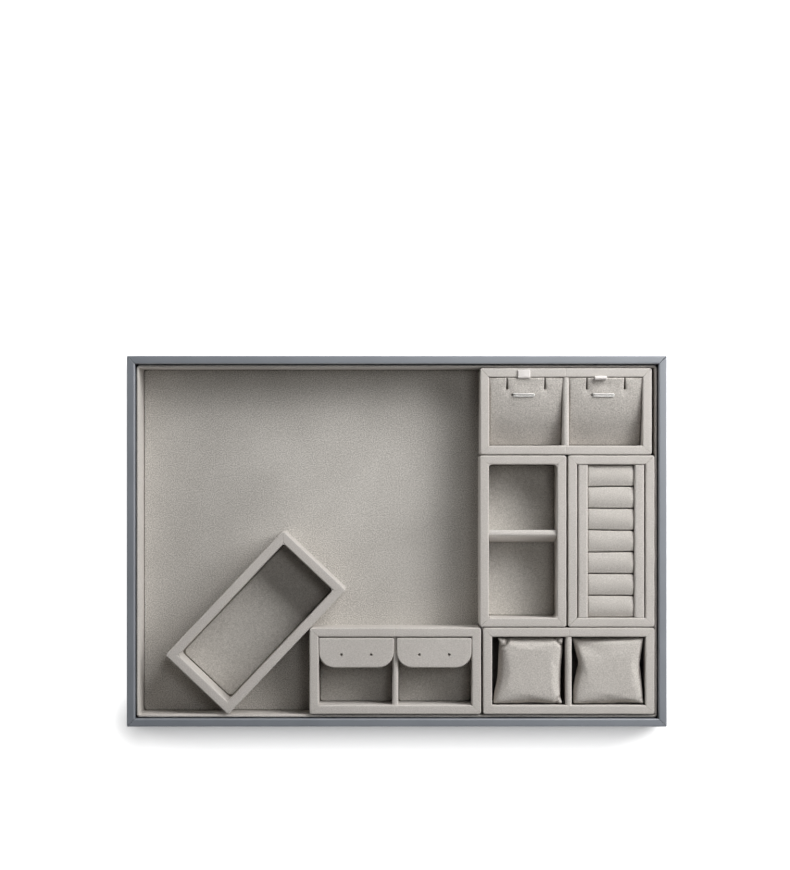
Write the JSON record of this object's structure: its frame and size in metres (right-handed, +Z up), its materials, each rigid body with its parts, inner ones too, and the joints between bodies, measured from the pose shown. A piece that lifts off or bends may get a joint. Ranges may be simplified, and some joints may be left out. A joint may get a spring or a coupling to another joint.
{
  "type": "jewelry tray",
  "caption": "Flat wrapped tray with a suede liner and loose suede boxes for pendants, rings, watches, stud earrings and other small jewelry.",
  "frame": {"origin": "middle of the underside, on the surface that the tray stands on", "axes": "+X to the right along the longer side, +Y to the back, +Z up"},
  "size_m": [0.4864, 0.3342, 0.0534],
  "materials": {
    "leather_wrap": "satin",
    "suede_board": "matte",
    "suede_cushion": "matte",
    "backing_board": "matte",
    "felt": "matte",
    "ribbon": "satin",
    "hook_wire": "satin",
    "hinge_tape": "matte"
  },
  "bodies": {
    "tray": {"liner_floor_card": "suede_board", "liner_wall_back": "suede_board", "liner_wall_front": "suede_board", "liner_wall_left": "suede_board", "liner_wall_right": "suede_board", "tray_base_board": "backing_board", "tray_felt": "felt", "tray_rail_back": "leather_wrap", "tray_rail_front": "leather_wrap", "tray_rail_left": "leather_wrap", "tray_rail_right": "leather_wrap"},
    "earring_box": {"earring_box_base": "backing_board", "earring_box_card_left": "suede_board", "earring_box_card_right": "suede_board", "earring_box_divider": "suede_board", "earring_box_ledges": "suede_board", "earring_box_walls": "suede_board", "earring_hinge_tape_left": "hinge_tape", "earring_hinge_tape_right": "hinge_tape"},
    "open_box": {"open_box_base": "backing_board", "open_box_card": "suede_board", "open_box_walls": "suede_board"},
    "pair_box": {"pair_box_base": "backing_board", "pair_box_card": "suede_board", "pair_box_walls": "suede_board"},
    "pendant_box": {"pendant_box_base": "backing_board", "pendant_box_divider": "suede_board", "pendant_box_walls": "suede_board"},
    "ring_box": {"ring_box_base": "backing_board", "ring_box_walls": "suede_board"},
    "watch_box": {"watch_box_base": "backing_board", "watch_box_card_left": "suede_board", "watch_box_card_right": "suede_board", "watch_box_divider": "suede_board", "watch_box_walls": "suede_board"},
    "earring_flap_left": {"earring_flap_left": "suede_board"},
    "earring_flap_right": {"earring_flap_right": "suede_board"},
    "pair_divider": {"pair_box_divider": "suede_board"},
    "pendant_pad_left": {"pendant_hook_left": "hook_wire", "pendant_pad_left": "suede_cushion", "pendant_ribbon_left": "ribbon"},
    "pendant_pad_right": {"pendant_hook_right": "hook_wire", "pendant_pad_right": "suede_cushion", "pendant_ribbon_right": "ribbon"},
    "ring_rack": {"ring_rack_board": "backing_board", "ring_rack_rail_left": "suede_board", "ring_rack_rail_right": "suede_board", "ring_roll_1": "suede_cushion", "ring_roll_2": "suede_cushion", "ring_roll_3": "suede_cushion", "ring_roll_4": "suede_cushion", "ring_roll_5": "suede_cushion", "ring_roll_6": "suede_cushion", "ring_roll_7": "suede_cushion"},
    "watch_pillow_left": {"watch_pillow_left": "suede_cushion"},
    "watch_pillow_right": {"watch_pillow_right": "suede_cushion"}
  },
  "joints": [
    {"name": "pendant_box_lift", "type": "slide", "parent": "tray", "child": "pendant_box", "axis": [0, 0, 1], "range_m": [0, 0.06]},
    {"name": "pair_box_lift", "type": "slide", "parent": "tray", "child": "pair_box", "axis": [0, 0, 1], "range_m": [0, 0.06]},
    {"name": "ring_box_lift", "type": "slide", "parent": "tray", "child": "ring_box", "axis": [0, 0, 1], "range_m": [0, 0.06]},
    {"name": "watch_box_lift", "type": "slide", "parent": "tray", "child": "watch_box", "axis": [0, 0, 1], "range_m": [0, 0.06]},
    {"name": "earring_box_lift", "type": "slide", "parent": "tray", "child": "earring_box", "axis": [0, 0, 1], "range_m": [0, 0.06]},
    {"name": "open_box_lift", "type": "slide", "parent": "tray", "child": "open_box", "axis": [0, 0, 1], "range_m": [0, 0.06]},
    {"name": "pendant_pad_left_lift", "type": "slide", "parent": "pendant_box", "child": "pendant_pad_left", "axis": [0, 0, 1], "range_m": [0, 0.05]},
    {"name": "pendant_pad_right_lift", "type": "slide", "parent": "pendant_box", "child": "pendant_pad_right", "axis": [0, 0, 1], "range_m": [0, 0.05]},
    {"name": "pair_divider_lift", "type": "slide", "parent": "pair_box", "child": "pair_divider", "axis": [0, 0, 1], "range_m": [0, 0.05]},
    {"name": "ring_rack_lift", "type": "slide", "parent": "ring_box", "child": "ring_rack", "axis": [0, 0, 1], "range_m": [0, 0.05]},
    {"name": "watch_pillow_left_lift", "type": "slide", "parent": "watch_box", "child": "watch_pillow_left", "axis": [0, 0, 1], "range_m": [0, 0.05]},
    {"name": "watch_pillow_right_lift", "type": "slide", "parent": "watch_box", "child": "watch_pillow_right", "axis": [0, 0, 1], "range_m": [0, 0.05]},
    {"name": "earring_flap_left_hinge", "type": "hinge", "parent": "earring_box", "child": "earring_flap_left", "pos_m": [-0.0365, -0.0885, 0.0444], "axis": [-1, 0, 0], "range_deg": [0, 100]},
    {"name": "earring_flap_right_hinge", "type": "hinge", "parent": "earring_box", "child": "earring_flap_right", "pos_m": [0.0337, -0.0885, 0.0444], "axis": [-1, 0, 0], "range_deg": [0, 100]}
  ]
}
